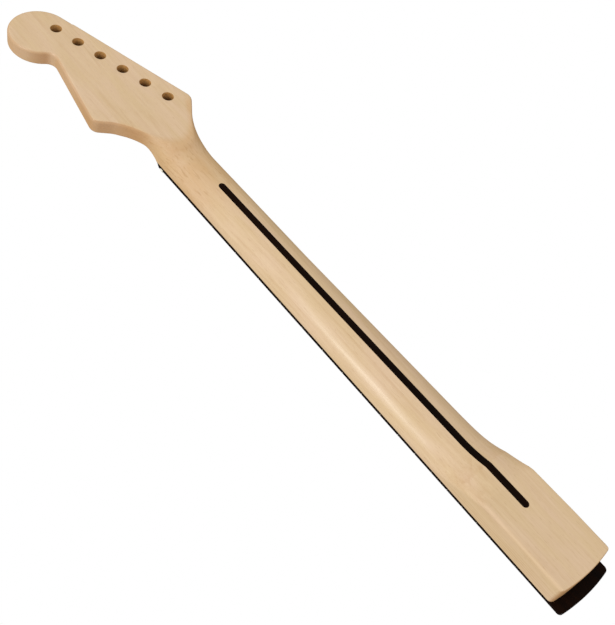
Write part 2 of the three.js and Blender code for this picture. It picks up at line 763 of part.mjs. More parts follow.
add('neck_shaft', makeNeckShaft(back.intersect(side), neckOutline()), maple());
add('filler_stripe', makeFillerStripe(back), darkWood());
add('fingerboard', makeFingerboard(side), darkWood());
add('nut', makeNut(), bone());
for (let number = 1; number <= fretCount; number += 1) {
  add(`fret_${String(number).padStart(2, '0')}`, makeFret(number), nickel());
}
for (const [tag, along, across] of dotPlaces(octaveDotSpacing, false)) {
  add(`face_dot_${tag}`, faceDot(along, across, faceDotDiameter / 2, faceDotThickness), pearl());
}
for (const [tag, along] of dotPlaces(sideDotPairSpacing, true)) {
  add(`side_dot_${tag}`, sideDot(along, sideDotDiameter / 2, sideDotLength), pearl());
}
add('truss_rod', makeTrussRod(), steel());
add('rod_washer', makeRodWasher(), steel());
add('rod_adjuster', makeRodAdjuster(), brass());
add('rod_anchor', makeRodAnchor(), steel());

export default group;
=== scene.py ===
import math
from collections import namedtuple

import bmesh
import bpy
import numpy as np
from mathutils import Matrix, Vector
from mathutils.geometry import delaunay_2d_cdt


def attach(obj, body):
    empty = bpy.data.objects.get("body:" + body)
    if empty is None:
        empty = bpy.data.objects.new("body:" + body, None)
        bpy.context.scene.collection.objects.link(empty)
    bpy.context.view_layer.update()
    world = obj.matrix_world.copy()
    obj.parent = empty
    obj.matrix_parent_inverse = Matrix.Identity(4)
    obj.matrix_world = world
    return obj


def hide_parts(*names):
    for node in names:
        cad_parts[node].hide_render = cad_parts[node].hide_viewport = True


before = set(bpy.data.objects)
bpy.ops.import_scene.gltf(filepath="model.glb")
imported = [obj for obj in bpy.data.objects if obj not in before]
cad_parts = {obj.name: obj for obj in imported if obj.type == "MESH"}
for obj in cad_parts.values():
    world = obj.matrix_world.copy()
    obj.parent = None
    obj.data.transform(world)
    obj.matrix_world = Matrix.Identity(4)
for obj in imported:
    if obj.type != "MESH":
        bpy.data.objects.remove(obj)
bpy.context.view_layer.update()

# Sizes in millimetres, with places from the nut's front face to the heel and across to the treble side
SCALE, FRETS = 648.0, 22
NUT_WIDTH, HEEL_WIDTH, HEEL_THICK = 42.0, 56.0, 25.4
BOARD_THICK, CROWN = 4.6, 241.3
HEAD_THICK, RAMP, SHELF = 14.0, 25.4, 1.8
NUT_THICK, NUT_SEAT = 3.3, 2.2
HEEL_PAST_FRETS, TONGUE, POCKET_MIDDLE = 1.3, 10.17, 38
HEEL_CURVE, HEEL_CORNER = 158, 4
TONGUE_CURVE, TONGUE_CORNER = 165, 3.5
GLUE = HEEL_THICK - BOARD_THICK
EDGE_BELOW_GLUE, BOARD_ROUND, TONGUE_ROUND, WEDGE_SINK = 0.6, 0.25, 0.35, 0.02


def fret_at(n):
    """The distance from the nut to a fret, each a twelfth of an octave above the one before."""
    return SCALE * (1 - 2 ** (-n / 12))


HEEL_END = fret_at(FRETS) + HEEL_PAST_FRETS
BOARD_END = HEEL_END + TONGUE
ORIGIN = HEEL_END - POCKET_MIDDLE

# The back: its sides, the rise of its middle, its roundness and its run out to the heel
HEEL_FLAT, SHOULDER_FLAT = HEEL_END - 100.5, HEEL_END - 79.5
SIDES_START, SIDES_END = -41.5, HEEL_END - 8
BACK_RISE, RISE_LOST = 3.8, 0.1
ROUND_AT_NUT, ROUND_LOST, ROUND_RUN = 2.2, 0.54, 140
HEEL_RUN, SHOULDER_RUN, SHOULDER_POWER = 26, 70, 2.45
DIP_START, DIP_RADIUS, DIP_ANGLE, CREASE = 20.0, 50.0, math.radians(21.8), 1.5

# Roundings of the back's edge and of the headstock's face, with the widths of their bands
ROUND_TREBLE, ROUND_BASS_HEAD, ROUND_BASS_HEEL, ROUND_BASS_GAIN = 2.6, 1.6, 1.0, 1.2
ROUND_FACE, BUTT_LOSS = 2.0, 0.6
BAND_HEAD, BAND_GAIN, BAND_FACE = 1.3, 2.1, 2.1

# The headstock's outline, as (along, across) points with their radii
BULB, BULB_RADIUS = np.array([-173.2, 31.2]), 28.57
HORN, HORN_RADIUS, NOTCH_RADIUS = np.array([-58.1, 54.3]), 9, 9.7
SCOOP, SCOOP_RADIUS, SCOOP_ANGLE = np.array([-48, 39.7]), 23.7, math.radians(41.2)
TUNER_CORNER, TUNER_RADIUS, TUNER_SIDE = np.array([-44.3, -39.98]), 10, 40
TREBLE_EDGE_ANGLE, BASS_WAIST_ANGLE = math.radians(11.9), math.radians(34.4)
TREBLE_WAIST_RADIUS, BASS_WAIST_RADIUS, WAIST = 51.5, 52, -22.25

# Tuner holes, key trough and stripe
HOLES, HOLE_PITCH, HOLE_RADIUS, HOLE_RIM = 6, 24.6, 5.15, 0.35
FIRST_HOLE, HOLE_LINE = (-53.2, -20.6), math.radians(17.9)
TROUGH_START, TROUGH_END, TROUGH_HALF, TROUGH_FLOOR, TROUGH_RIM = -45.7, -5.7, 4.8, 5.4, 0.3
STRIPE_START, STRIPE_END, STRIPE_WIDTH = 48.7, HEEL_END - 59.8, 6.3
STRIPE_GAP, STRIPE_DEPTH, SLOT_DEPTH = 0.03, 1.5, 1.6

# Frets, nut, dots and rod
FRET_HALF, FRET_HEIGHT, FRET_INSET, FRET_BEVEL = 1.3, 1.1, 0.15, math.radians(35)
FRET_SINK, FRET_FULLNESS, FRET_TIP, TIP_SHRINK = 0.08, 0.9, 0.015, 0.35
TANG_HALF, TANG_DEPTH, TANG_SINK, TANG_PROUD = 0.25, 1.4, 0.1, 0.03
NUT_RISE, NUT_FALL, NUT_END_ROUND, NUT_EDGE_ROUND = 1.7, 0.45, 0.6, 0.35
GROOVE_RADIUS, GROOVE_DEPTH = 0.45, 0.8
STRINGS, STRING_SPREAD = 6, 35
DOTS, PAIR_DOT = (3, 5, 7, 9, 12, 15, 17, 19, 21), 12
DOT_RADIUS, DOT_DEPTH, DOT_RISE, PAIR_ACROSS = 3.175, 1.4, 0.02, 22
SIDE_RADIUS, SIDE_DEPTH, PAIR_ALONG = 0.9, 2.5, 6
ROD_HEIGHT, ROD_GAP = 10.0, 0.3
ADJUSTER_RADIUS, ADJUSTER_LENGTH, ADJUSTER_ROUND = 4, 15, 0.7
SOCKET_CORNER, SOCKET_DEPTH = 2.77, 6.0
WASHER_RADIUS, WASHER_HOLE, WASHER_THICK, WASHER_ROUND = 4.2, 2.7, 1.5, 0.25

# Mesh steps: shares of a rim's width, shares of a wall's height, and degrees along an arc
BAND = np.array([0, .004, .015, .04, .08, .14, .23, .35, .5, .7, 1])
SHORT_BAND = np.array([0, .06, .2, .45, 1])
WALL_SHARES, ARC_STEP, SHARP_EDGE = (0.08, 0.92), 3.0, math.radians(38)
INNER_GAP, LEAST_RIM, END_POINTS, SIDE_INSET = 0.7, 0.1, 26, 3.2

# Light: distances in metres, strengths of the world and watts of the lamps
AMBIENT, FROM_TREBLE, FROM_BELOW = 0.42, 0.48, 0.48
LAMP_AWAY, CAMERA_AWAY = 3.0, 0.78923
FLOOR_HALF, FLOOR_BELOW = 4.0, 0.0002
FLOOR_FADE_START, FLOOR_FADE_END, FLOOR_MIDDLE = 0.5, 1.5, (-0.29, 0, 0)


def half_width(s):
    """Half the width of the neck where its sides run straight from the nut to the heel."""
    return (NUT_WIDTH + (HEEL_WIDTH - NUT_WIDTH) * np.asarray(s, float) / HEEL_END) / 2


def crown(y):
    """The height of the board's curved face."""
    return HEEL_THICK - CROWN + np.sqrt(CROWN**2 - np.asarray(y, float) ** 2)


def fade(value, start, end):
    """From 0 at start to 1 at end, level beyond them."""
    t = np.clip((value - start) / (end - start), 0, 1)
    return t * t * (3 - 2 * t)


def flat(height):
    return lambda s, y: np.full_like(s, height)


def crowned(rise):
    return lambda s, y: crown(y) + rise


# Outlines in plan
def rounded(corners, step=ARC_STEP):
    """A closed outline from (along, across, radius) corners."""
    points = []
    n = len(corners)
    for i, (s, y, r) in enumerate(corners):
        at = np.array([s, y])
        if not r:
            points.append(at)
            continue
        back = np.array(corners[i - 1][:2]) - at
        on = np.array(corners[(i + 1) % n][:2]) - at
        turn = math.pi - math.acos(back @ on / np.linalg.norm(back) / np.linalg.norm(on))
        reach = min(r * math.tan(turn / 2), np.linalg.norm(back), np.linalg.norm(on))
        radius = reach / math.tan(turn / 2)
        steps = max(2, math.ceil(math.degrees(turn) / step))
        back, on = back / np.linalg.norm(back), on / np.linalg.norm(on)
        middle = (back + on) / np.linalg.norm(back + on)
        centre = at + middle * math.hypot(radius, reach)
        way = math.copysign(1, on[0] * back[1] - on[1] * back[0])
        start = at + back * reach - centre
        for k in range(steps + 1):
            a = way * turn * k / steps
            c, q = math.cos(a), math.sin(a)
            points.append(centre + np.array([start[0] * c - start[1] * q, start[0] * q + start[1] * c]))
    return np.array(points)


def arc(centre, radius, a, b):
    """Sharp corners along an arc from angle a to angle b."""
    steps = max(2, math.ceil(abs(math.degrees(b - a)) / ARC_STEP))
    angles = [a + (b - a) * k / steps for k in range(steps + 1)]
    return [(centre[0] + radius * math.cos(t), centre[1] + radius * math.sin(t), 0) for t in angles]


def end_corners(end, radius, corner):
    """A curved end with a rounded corner at each side."""
    half = float(half_width(end))
    centre = end - radius
    side = centre + math.sqrt(radius**2 - half**2)
    inner = math.asin((half - corner) / radius)
    middle = [(centre + radius * math.cos(a), radius * math.sin(a), 0)
              for a in np.linspace(-inner, inner, END_POINTS)[1:-1]]
    return [(side, -half, corner), *middle, (side, half, corner)]


def headstock_corners():
    """From the treble edge at the nut round the tip to the bass edge."""
    angle = lambda v: math.atan2(v[1], v[0]) % (2 * math.pi)
    nut = float(half_width(WAIST))
    edge = np.array([-math.cos(TREBLE_EDGE_ANGLE), -math.sin(TREBLE_EDGE_ANGLE)])
    out = np.array([-math.sin(TREBLE_EDGE_ANGLE), math.cos(TREBLE_EDGE_ANGLE)])
    line = HORN + out * NOTCH_RADIUS
    to_bulb = BULB - line
    off = to_bulb[0] * edge[1] - to_bulb[1] * edge[0]
    notch = line + edge * (to_bulb @ edge - math.sqrt((BULB_RADIUS + NOTCH_RADIUS) ** 2 - off**2))
    notch_end, notch_start = angle(BULB - notch), angle(-out)
    from_tuner = BULB - TUNER_CORNER
    tangent = angle(from_tuner) + math.asin(BULB_RADIUS / np.linalg.norm(from_tuner))
    bass_waist = TUNER_CORNER[0] + (TUNER_SIDE - nut) / math.tan(BASS_WAIST_ANGLE)
    return [
        (SCOOP[0] + (SCOOP[1] - nut) / math.tan(SCOOP_ANGLE), nut, TREBLE_WAIST_RADIUS),
        (*SCOOP, SCOOP_RADIUS),
        (*HORN, HORN_RADIUS),
        *arc(notch, NOTCH_RADIUS, notch_start, notch_end),
        *arc(BULB, BULB_RADIUS, notch_end - math.pi, tangent + math.pi / 2)[1:],
        (*TUNER_CORNER, TUNER_RADIUS),
        (bass_waist, -nut, BASS_WAIST_RADIUS),
    ]


def refined(loop, most):
    """The same outline with no step longer than most, a length or a function of the place, and no
    point twice."""
    limit = most if callable(most) else lambda s: most
    out = []
    loop = np.asarray(loop, float)
    loop = loop[np.linalg.norm(loop - np.roll(loop, 1, 0), axis=1) > 1e-6]
    for a, b in zip(loop, np.roll(loop, -1, 0)):
        n = max(1, math.ceil(np.linalg.norm(b - a) / limit((a[0] + b[0]) / 2)))
        out += [a + (b - a) * k / n for k in range(n)]
    return np.array(out)


def stripe_outline(gap):
    """The stripe's outline, drawn in by gap, with corners where the back bends to the heel."""
    start, end, half = STRIPE_START + gap, STRIPE_END - gap, STRIPE_WIDTH / 2 - gap
    one_side = [(start, -half, half), (HEEL_FLAT, -half, 0), (end, -half, half)]
    other_side = [(s, -y, r) for s, y, r in reversed(one_side)]
    return refined(rounded(one_side + other_side, 8), 2.5)


# Building closed shells
def inward(loop):
    """Unit vectors from each point of an outline to its inside."""
    unit = lambda v: v / np.linalg.norm(v, axis=1)[:, None]
    t = unit(unit(np.roll(loop, -1, 0) - loop) + unit(loop - np.roll(loop, 1, 0)))
    return np.stack([-t[:, 1], t[:, 0]], 1)


def quarter(d, r):
    """How far a rounded edge of radius r has fallen away at distance d from the wall."""
    d, r = np.broadcast_arrays(np.asarray(d, float), np.asarray(r, float))
    inside = np.clip(r - d, 0, None)
    return np.where(d < r, r - np.sqrt(np.clip(r**2 - inside**2, 0, None)), 0)


def within(points, loops):
    """Even-odd test of points against several loops, a part of the points at a time."""
    at_once = 1500
    a = np.concatenate(loops)
    b = np.concatenate([np.roll(l, -1, 0) for l in loops])
    run = (b[:, 0] - a[:, 0]) / np.where(b[:, 1] == a[:, 1], 1e-9, b[:, 1] - a[:, 1])
    inside = np.zeros(len(points), bool)
    for i in range(0, len(points), at_once):
        p = points[i:i + at_once, None]
        spans = (a[:, 1] > p[..., 1]) != (b[:, 1] > p[..., 1])
        before = p[..., 0] < a[:, 0] + run * (p[..., 1] - a[:, 1])
        inside[i:i + at_once] = (spans & before).sum(1) % 2 == 1
    return inside


def clear_of(points, loops, gap):
    """The points that lie inside the loops and at least gap from each corner of them."""
    corners = np.concatenate([refined(l, gap) for l in loops])
    keep = within(points, loops)
    for i in np.nonzero(keep)[0]:
        keep[i] = np.min(np.sum((corners - points[i]) ** 2, 1)) > gap * gap
    return points[keep]


class Shell:
    """Points and faces of one closed skin, as they are added."""

    def __init__(self):
        self.co, self.faces, self.count = [], [], 0

    def add(self, p, z):
        p = np.asarray(p, float)
        z = np.broadcast_to(np.asarray(z, float), len(p))
        self.co.append(np.column_stack([p, z]))
        self.count += len(p)
        return np.arange(self.count - len(p), self.count)

    def strip(self, a, b):
        n = len(a)
        for i in range(n):
            j = (i + 1) % n
            self.faces.append((a[i], a[j], b[j], b[i]))

    def points(self, ids):
        return np.concatenate(self.co)[ids]

    def wall(self, a, b):
        pa, pb = self.points(a), self.points(b)
        before = a
        for t in WALL_SHARES:
            mid = pa + (pb - pa) * t
            ring = self.add(mid[:, :2], mid[:, 2])
            self.strip(before, ring)
            before = ring
        self.strip(before, b)

    def fill(self, rings, extra):
        """Triangles between loops of existing points, with extra points (ids) inside."""
        co = np.concatenate(self.co)[:, :2]
        ids = np.concatenate([*rings, extra]) if len(extra) else np.concatenate(rings)
        edges, at = [], 0
        for ring in rings:
            n = len(ring)
            edges += [(at + i, at + (i + 1) % n) for i in range(n)]
            at += n
        made = delaunay_2d_cdt([Vector(c) for c in co[ids]], edges, [], 0, 1e-7, True)
        source = [o[0] if len(o) else -1 for o in made[3]]
        if -1 in source:
            raise RuntimeError("an outline crosses itself")
        tris = np.array([[source[v] for v in f] for f in made[2]])
        middles = co[ids][tris].mean(1)
        keep = within(middles, [co[r] for r in rings])
        self.faces += [tuple(t) for t in ids[tris[keep]]]


# A hole goes through when its side is "both". A pocket opens on its side and goes to its floor.
Hole = namedtuple("Hole", "loop side rim floor")


def plate(outer, low, high, width, r_low=0, r_high=0, holes=(), inner_low=(), inner_high=(), band=BAND):
    """A plan outline between two height fields, with rounded rims, holes and pockets."""
    shell = Shell()
    rims = {}
    widths = width if isinstance(width, tuple) else (width, width)
    for side, sign, height, radius, rim_width, inner in (
        ("low", 1, low, r_low, widths[0], inner_low),
        ("high", -1, high, r_high, widths[1], inner_high),
    ):
        last = []
        todo = [(0, outer, radius, rim_width, 1, band)]
        todo += [(k + 1, h.loop, h.rim, max(h.rim, LEAST_RIM), -1, SHORT_BAND)
                 for k, h in enumerate(holes) if h.side in (side, "both")]
        for key, loop, r, wide, way, fractions in todo:
            n = inward(loop) * way
            rings = []
            for f in fractions:
                d = np.broadcast_to(np.asarray(wide, float) * f, len(loop))
                p = loop + n * d[:, None]
                rings.append(shell.add(p, height(p[:, 0], p[:, 1]) + sign * quarter(d, r)))
            for a, b in zip(rings, rings[1:]):
                shell.strip(a, b)
            rims[side, key] = rings[0]
            last.append(rings[-1])
        extra = np.zeros(0, int)
        if len(inner):
            loops = [shell.points(r)[:, :2] for r in last]
            found = clear_of(np.asarray(inner, float), loops, INNER_GAP)
            extra = shell.add(found, height(found[:, 0], found[:, 1]))
        shell.fill(last, extra)
    shell.wall(rims["low", 0], rims["high", 0])
    for k, hole in enumerate(holes):
        if hole.side == "both":
            shell.wall(rims["low", k + 1], rims["high", k + 1])
        else:
            floor = shell.add(hole.loop, hole.floor)
            shell.wall(rims[hole.side, k + 1], floor)
            shell.fill([floor], np.zeros(0, int))
    return np.concatenate(shell.co), shell.faces


def lofted(rings):
    """A closed skin over rings of points with flat ends."""
    rings = np.asarray(rings, float)
    n, m, _ = rings.shape
    faces = []
    for k in range(n - 1):
        for i in range(m):
            j = (i + 1) % m
            faces.append((k * m + i, k * m + j, (k + 1) * m + j, (k + 1) * m + i))
    faces.append(tuple(range(m)))
    faces.append(tuple(range((n - 1) * m, n * m)))
    return rings.reshape(-1, 3), faces


def joined(*shells):
    """Several closed skins as one set of points and faces."""
    co, faces, at = [], [], 0
    for c, f in shells:
        co.append(c)
        faces += [tuple(int(v) + at for v in face) for face in f]
        at += len(c)
    return np.concatenate(co), faces


def in_scene(name, data):
    """A new object in the scene with this data."""
    obj = bpy.data.objects.new(name, data)
    bpy.context.scene.collection.objects.link(obj)
    return obj


def piece(name, shell, material, replaced, body="neck"):
    """A mesh object in the CAD frame from a shell in millimetres along the neck."""
    co, faces = shell
    co = np.array(co, float)
    co[:, 0] -= ORIGIN
    mesh = bpy.data.meshes.new(name)
    mesh.from_pydata((co / 1000).tolist(), [], [tuple(int(v) for v in f) for f in faces])
    bm = bmesh.new()
    bm.from_mesh(mesh)
    bmesh.ops.recalc_face_normals(bm, faces=bm.faces)
    for e in bm.edges:
        e.smooth = len(e.link_faces) == 2 and e.calc_face_angle(0) < SHARP_EDGE
    for f in bm.faces:
        f.smooth = True
    bm.to_mesh(mesh)
    bm.free()
    mesh.materials.append(material)
    obj = in_scene(name, mesh)
    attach(obj, body)
    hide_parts(*replaced)
    return obj


# Materials. Noise stretches and places along the neck are in metres.
def colour(r, g, b):
    """Linear colour from display values."""
    linear = lambda c: ((c / 255 + 0.055) / 1.055) ** 2.4 if c > 10 else c / 255 / 12.92
    return (linear(r), linear(g), linear(b), 1.0)


class Graph:
    """Adds nodes to a node tree by short calls."""

    def __init__(self, tree):
        self.tree = tree

    def put(self, socket, value):
        if isinstance(value, bpy.types.NodeSocket):
            self.tree.links.new(value, socket)
        else:
            socket.default_value = value

    def node(self, kind, inputs=None, **props):
        n = self.tree.nodes.new(kind)
        for k, v in props.items():
            setattr(n, k, v)
        for k, v in (inputs or {}).items():
            self.put(n.inputs[k], v)
        return n

    def math(self, op, a, b=0.0, c=0.0):
        return self.node("ShaderNodeMath", {0: a, 1: b, 2: c}, operation=op).outputs[0]

    def times(self, product, *others):
        for other in others:
            product = self.math("MULTIPLY", product, other)
        return product

    def larger(self, a, b):
        return self.math("MAXIMUM", a, b)

    def ramp(self, value, low, high, a=0.0, b=1.0):
        """From a at low to b at high, level beyond them."""
        ends = {"From Min": low, "From Max": high, "To Min": a, "To Max": b}
        return self.node("ShaderNodeMapRange", {"Value": value, **ends},
                         interpolation_type="SMOOTHSTEP").outputs[0]


class Look(Graph):
    """A material on the Principled shader."""

    def __init__(self, name):
        self.material = bpy.data.materials.new(name)
        self.material.use_nodes = True
        super().__init__(self.material.node_tree)
        self.bsdf = self.tree.nodes["Principled BSDF"]
        self.where = self.node("ShaderNodeTexCoord").outputs["Object"]

    def noise(self, stretch, detail, rough=0.55, distort=0.0, shift=(0, 0, 0)):
        at = self.node("ShaderNodeMapping", {0: self.where, "Scale": stretch, "Location": shift})
        return self.node("ShaderNodeTexNoise", {
            "Vector": at.outputs[0], "Scale": 1.0, "Detail": detail, "Roughness": rough,
            "Distortion": distort}).outputs[0]

    def mix(self, share, a, b):
        return self.node("ShaderNodeMix", {0: share, 6: a, 7: b}, data_type="RGBA").outputs[2]

    def paint(self, base, rgb, *shares):
        """The base with another colour over it, by the product of the shares."""
        return self.mix(self.times(*shares), base, colour(*rgb))

    def sheen(self, facing, grazing):
        """Specular level that dies away where the surface turns from the eye, as on oiled wood."""
        turned = self.node("ShaderNodeLayerWeight", {"Blend": 0.5}).outputs["Facing"]
        return self.ramp(turned, 0.15, 0.6, facing, grazing)

    def bump(self, height, strength, distance, under=None):
        n = self.node("ShaderNodeBump", {"Height": height, "Strength": strength, "Distance": distance})
        if under is not None:
            self.put(n.inputs["Normal"], under)
        return n.outputs[0]

    def set(self, **inputs):
        for k, v in inputs.items():
            self.put(self.bsdf.inputs[k.replace("_", " ")], v)
        return self.material


def make_maple():
    m = Look("maple_satin")
    x, y, z = m.node("ShaderNodeSeparateXYZ", {0: m.where}).outputs
    # Growth rings about a line above the board, whose late wood is a little darker
    pith_height, rings_per_metre = 0.16, 420.0
    wander = m.noise((2.4, 16, 16), 2.0, shift=(3, 1, 7))
    above = m.math("ADD", z, -pith_height)
    across = m.math("ADD", y, m.math("MULTIPLY_ADD", wander, 0.11, -0.045))
    radius = m.math("SQRT", m.math("ADD", m.times(across, across), m.times(above, above)))
    ring = m.math("FRACT", m.times(radius, rings_per_metre))
    late = m.times(m.ramp(ring, 0.35, 0.9), m.math("SUBTRACT", 1.0, m.ramp(ring, 0.93, 1.0)))
    broken = m.ramp(m.noise((11, 60, 60), 3.0), 0.45, 0.7)
    # Grain along the neck, from broad to fine
    tone = m.noise((14, 60, 60), 2.0, shift=(9, 2, 4))
    streaks = m.noise((14, 420, 420), 4.0, 0.65)
    fine = m.noise((110, 2300, 2300), 2.0, 0.6)
    flecks = m.ramp(m.noise((160, 1400, 1400), 1.0, shift=(5, 2, 1)), 0.64, 0.76)
    base = m.mix(m.ramp(tone, 0.3, 0.7), colour(215, 185, 151), colour(211, 182, 141))
    base = m.paint(base, (186, 148, 104), late, broken, 0.3)
    base = m.paint(base, (190, 155, 112), m.ramp(streaks, 0.46, 0.74), 0.26)
    base = m.paint(base, (232, 206, 170), m.ramp(streaks, 0.5, 0.28), 0.22)
    base = m.paint(base, (170, 132, 92), m.ramp(fine, 0.5, 0.8), 0.26)
    base = m.paint(base, (160, 120, 82), flecks, 0.25)
    # Painted shade, in patches: browner round the nut, where the neck's back rises from the headstock's
    # flat back and turns away from the light
    behind_nut = m.ramp(x, -0.48, -0.465)
    tongue = m.math("ADD", x, m.times(m.times(y, y), 38.0))
    risen = m.larger(m.ramp(z, 0.0, 0.0016), m.ramp(tongue, -0.4412, -0.430))
    nut_painted_shade = m.times(behind_nut, m.ramp(x, -0.34, -0.41), risen)
    patches = m.ramp(m.noise((40, 70, 70), 3.0, 0.6, 0.8), 0.25, 0.75, 0.32, 0.66)
    base = m.paint(base, (201, 159, 108), nut_painted_shade, patches)
    # Short marks where the figure is cut across
    marks = m.ramp(m.noise((62, 430, 430), 3.0, 0.6, 0.5, shift=(2, 6, 3)), 0.54, 0.7)
    base = m.paint(base, (164, 120, 66), nut_painted_shade, marks, 0.42)
    # Sawn ends are browner, partly as real end grain and partly as painted shade; the headstock's walls
    # and rims are browner as painted shade
    normal = m.node("ShaderNodeTexCoord").outputs["Normal"]
    end, _, level = m.node("ShaderNodeSeparateXYZ", {0: normal}).outputs
    end_grain_and_shade = m.ramp(m.math("ABSOLUTE", end), 0.1, 0.95, 0.0, 0.75)
    # Painted shade on the headstock's walls and rims, where the surface turns from flat
    wall = m.times(m.ramp(m.math("ABSOLUTE", level), 0.99, 0.75), m.ramp(x, -0.44, -0.462),
                   m.ramp(x, -0.49, -0.54, 0.62, 0.38))
    base = m.paint(base, (180, 130, 80), m.larger(end_grain_and_shade, wall))
    # The lacquer is duller by the nut and at the heel than along the middle of the neck
    dull = m.larger(m.times(behind_nut, m.ramp(x, -0.235, -0.29)), m.ramp(x, -0.108, -0.085))
    rough = m.math("MULTIPLY_ADD", dull, 0.3, m.ramp(streaks, 0.3, 0.75, 0.25, 0.31))
    relief = m.bump(tone, 0.05, 0.0008, m.bump(fine, 0.12, 0.00012))
    return m.set(Base_Color=base, Roughness=rough, Normal=relief, IOR=1.45,
                 Specular_IOR_Level=m.sheen(0.5, 0.0))


def make_bore():
    """End grain inside the drilled holes, with painted shade that makes it darker the deeper it lies
    from the back.
    """
    m = Look("maple_end_grain")
    depth = m.node("ShaderNodeSeparateXYZ", {0: m.where}).outputs["Z"]
    rings = m.noise((60, 60, 1500), 2.0, 0.6)
    specks = m.noise((900, 900, 400), 2.0, 0.6)
    base = m.mix(m.ramp(rings, 0.35, 0.7), colour(206, 160, 100), colour(190, 144, 84))
    base = m.paint(base, (160, 112, 58), m.ramp(specks, 0.55, 0.75), 0.4)
    # Painted shade: dark brown deep in the hole, where little light reaches
    base = m.paint(base, (70, 34, 4), m.ramp(depth, 0.001, 0.0105))
    return m.set(Base_Color=base, Roughness=m.ramp(specks, 0.3, 0.7, 0.7, 0.85),
                 Normal=m.bump(rings, 0.2, 0.0001), Specular_IOR_Level=m.sheen(0.1, 0.0))


def make_dark():
    m = Look("dark_wood_satin")
    streaks = m.noise((8, 190, 190), 4.0, 0.6)
    pores = m.ramp(m.noise((55, 1500, 1500), 2.0, 0.6), 0.6, 0.72)
    tone = m.noise((6, 40, 40), 2.0)
    base = m.mix(m.ramp(streaks, 0.35, 0.72), colour(11, 4, 2), colour(23, 9, 3))
    base = m.paint(base, (30, 12, 4), m.ramp(tone, 0.45, 0.75), 0.4)
    base = m.paint(base, (4, 2, 2), pores, 0.7)
    return m.set(Base_Color=base, Roughness=m.ramp(streaks, 0.3, 0.7, 0.46, 0.6),
                 Normal=m.bump(pores, -0.3, 0.00015), IOR=1.3, Specular_IOR_Level=m.sheen(0.06, 0.02))


def make_metal(name, tint, dark, rough, scratch):
    m = Look(name)
    lines = m.noise(scratch, 3.0, 0.65)
    tarnish = m.noise((60, 60, 60), 3.0)
    base = m.paint(colour(*tint), dark, m.ramp(tarnish, 0.45, 0.75), 0.35)
    return m.set(Base_Color=base, Metallic=1.0, Roughness=m.ramp(lines, 0.3, 0.75, rough, rough + 0.14),
                 Normal=m.bump(lines, 0.08, 0.00005))


def make_bone():
    m = Look("bone_satin")
    cloud = m.noise((90, 30, 90), 3.0)
    specks = m.ramp(m.noise((1500, 500, 1500), 2.0), 0.62, 0.75)
    base = m.mix(m.ramp(cloud, 0.35, 0.7), colour(242, 237, 222), colour(230, 222, 200))
    base = m.paint(base, (205, 192, 165), specks, 0.3)
    return m.set(Base_Color=base, Roughness=m.ramp(cloud, 0.3, 0.7, 0.3, 0.42),
                 Normal=m.bump(specks, -0.1, 0.00004), Subsurface_Weight=0.05, Subsurface_Scale=0.001)


def make_pearl():
    m = Look("pearl_gloss")
    swirl = m.noise((160, 160, 60), 3.0, 0.6, 1.4)
    base = m.mix(m.ramp(swirl, 0.38, 0.62), colour(240, 238, 230), colour(214, 216, 214))
    base = m.paint(base, (226, 214, 200), m.ramp(swirl, 0.55, 0.7), 0.3)
    return m.set(Base_Color=base, Roughness=m.ramp(swirl, 0.3, 0.7, 0.16, 0.28),
                 Normal=m.bump(swirl, 0.04, 0.0001), Coat_Weight=0.3, Coat_Roughness=0.1)


MAPLE, BORE, DARK = make_maple(), make_bore(), make_dark()
NICKEL = make_metal("nickel_polished", (190, 186, 178), (152, 147, 138), 0.2, (900, 60, 900))
STEEL = make_metal("steel_plain", (158, 158, 160), (110, 108, 108), 0.32, (40, 900, 900))
BRASS = make_metal("brass_plain", (205, 168, 96), (150, 112, 60), 0.28, (900, 90, 90))
BONE, PEARL = make_bone(), make_pearl()

# The neck's outline, with short steps where it curves, and its half widths on the two sides
NECK = refined(rounded([*end_corners(HEEL_END, HEEL_CURVE, HEEL_CORNER), *headstock_corners()]),
               lambda s: 1.6 if s < 40 or 318 < s < 395 else 4.0)
along, aside = NECK.T
sides = {}
for sign in (-1, 1):
    pick = NECK[(aside * sign > 0) & (along > SIDES_START) & (along < SIDES_END)]
    order = np.argsort(pick[:, 0])
    sides[sign] = (pick[order, 0], np.abs(pick[order, 1]))


def dip(s):
    """How far the round back has turned down from the neck's line towards the headstock."""
    on = np.maximum(DIP_START - s, 0)
    run = DIP_RADIUS * math.sin(DIP_ANGLE)
    arc_part = DIP_RADIUS - np.sqrt(DIP_RADIUS**2 - np.minimum(on, run) ** 2)
    return arc_part + np.maximum(on - run, 0) * math.tan(DIP_ANGLE)


def back_height(s, y):
    """The back's height: a rounded neck that dips into the headstock and runs out flat at the heel."""
    rise = BACK_RISE - RISE_LOST * np.clip(s / HEEL_FLAT, 0, 1)
    half = np.where(y < 0, np.interp(s, *sides[-1]), np.interp(s, *sides[1]))
    reach = np.clip(np.abs(y) / half, 0, 1)
    power = ROUND_AT_NUT - ROUND_LOST * np.clip(s / ROUND_RUN, 0, 1)
    fall = 1 - np.clip(1 - reach**power, 0, 1) ** (1 / power)
    centre = np.clip((s - HEEL_FLAT) / HEEL_RUN + 1, 0, 1) ** 2
    shoulder = np.clip((s - SHOULDER_FLAT) / SHOULDER_RUN + 1, 0, 1) ** SHOULDER_POWER
    full = rise * (1 - centre) + (GLUE - EDGE_BELOW_GLUE - rise) * fall * (1 - shoulder)
    dipped = full - dip(s)
    soft = np.where(dipped > CREASE, dipped, (np.maximum(dipped + CREASE, 0) / 2) ** 2 / CREASE)
    return np.where(s > DIP_START, full, soft)


# The curved ramp behind the nut, from the headstock's face up to the board's glue line and on
RAMP_RUN = math.sqrt(RAMP**2 - (RAMP - HEEL_THICK + HEAD_THICK) ** 2)
RAMP_FOOT = -(NUT_THICK + SHELF) - RAMP_RUN
RAMP_GLUE = RAMP_FOOT + math.sqrt(RAMP**2 - (RAMP - GLUE + HEAD_THICK) ** 2)


